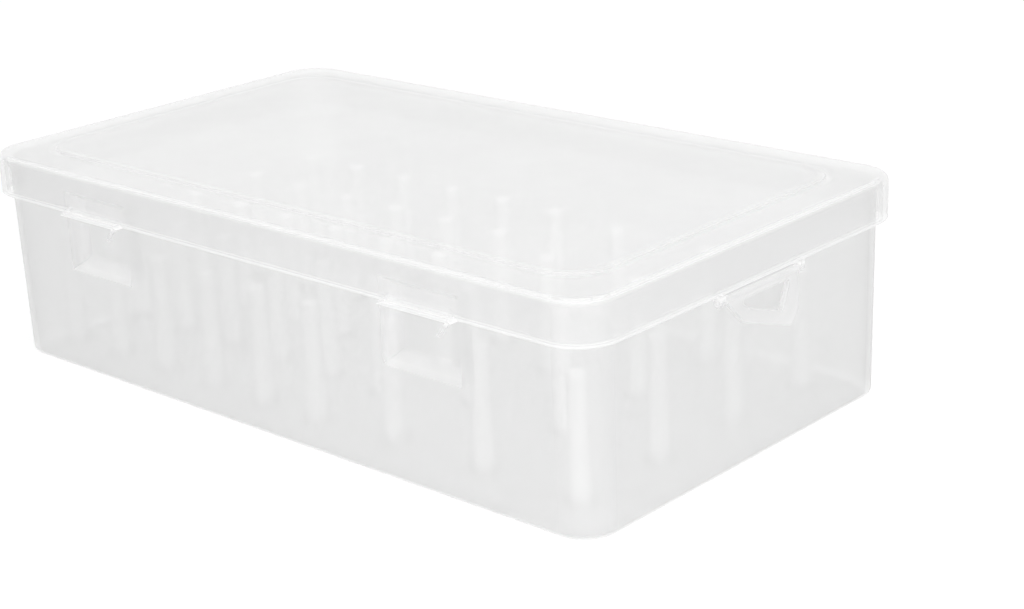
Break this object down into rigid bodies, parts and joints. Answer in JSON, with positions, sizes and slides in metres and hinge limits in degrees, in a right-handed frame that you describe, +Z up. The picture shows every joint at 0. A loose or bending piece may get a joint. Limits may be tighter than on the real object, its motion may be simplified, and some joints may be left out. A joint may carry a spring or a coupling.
{
  "type": "embroidery thread box",
  "caption": "Frosted rectangular thread box: a tray with rows of spool pegs, a deep-skirted lift-off lid with thumb lips, and a swinging loop under the lid's end.",
  "frame": {"origin": "centre of the tray's underside, on the surface that the box stands on", "axes": "+Z up; +X along the box, towards the end that carries the loop; -Y towards the long side with the thumb lips"},
  "size_m": [0.2343, 0.1356, 0.063],
  "materials": {
    "tray_plastic": "frosted translucent polypropylene",
    "lid_plastic": "frosted translucent polypropylene",
    "peg_plastic": "frosted translucent polypropylene",
    "loop_plastic": "frosted translucent polypropylene"
  },
  "bodies": {
    "tray": {"base_tray": "tray_plastic", "large_peg_c1_r1": "peg_plastic", "large_peg_c1_r2": "peg_plastic", "large_peg_c1_r3": "peg_plastic", "large_peg_c1_r4": "peg_plastic", "large_peg_c2_r1": "peg_plastic", "large_peg_c2_r2": "peg_plastic", "large_peg_c2_r3": "peg_plastic", "large_peg_c2_r4": "peg_plastic", "large_peg_c3_r1": "peg_plastic", "large_peg_c3_r2": "peg_plastic", "large_peg_c3_r3": "peg_plastic", "large_peg_c3_r4": "peg_plastic", "small_peg_c1_r1": "peg_plastic", "small_peg_c1_r2": "peg_plastic", "small_peg_c1_r3": "peg_plastic", "small_peg_c1_r4": "peg_plastic", "small_peg_c1_r5": "peg_plastic", "small_peg_c2_r1": "peg_plastic", "small_peg_c2_r2": "peg_plastic", "small_peg_c2_r3": "peg_plastic", "small_peg_c2_r4": "peg_plastic", "small_peg_c2_r5": "peg_plastic", "small_peg_c3_r1": "peg_plastic", "small_peg_c3_r2": "peg_plastic", "small_peg_c3_r3": "peg_plastic", "small_peg_c3_r4": "peg_plastic", "small_peg_c3_r5": "peg_plastic", "small_peg_c4_r1": "peg_plastic", "small_peg_c4_r2": "peg_plastic", "small_peg_c4_r3": "peg_plastic", "small_peg_c4_r4": "peg_plastic", "small_peg_c4_r5": "peg_plastic", "small_peg_c5_r1": "peg_plastic", "small_peg_c5_r2": "peg_plastic", "small_peg_c5_r3": "peg_plastic", "small_peg_c5_r4": "peg_plastic", "small_peg_c5_r5": "peg_plastic", "small_peg_c6_r1": "peg_plastic", "small_peg_c6_r2": "peg_plastic", "small_peg_c6_r3": "peg_plastic", "small_peg_c6_r4": "peg_plastic", "small_peg_c6_r5": "peg_plastic"},
    "lid": {"lid": "lid_plastic"},
    "loop": {"end_loop": "loop_plastic"}
  },
  "joints": [
    {"name": "lid_lift", "type": "slide", "parent": "tray", "child": "lid", "axis": [0, 0, 1], "range_m": [0, 0.07]},
    {"name": "loop_swing", "type": "hinge", "parent": "lid", "child": "loop", "pos_m": [0.11647, 0, 0.04875], "axis": [0, -1, 0], "range_deg": [-5, 125]}
  ]
}
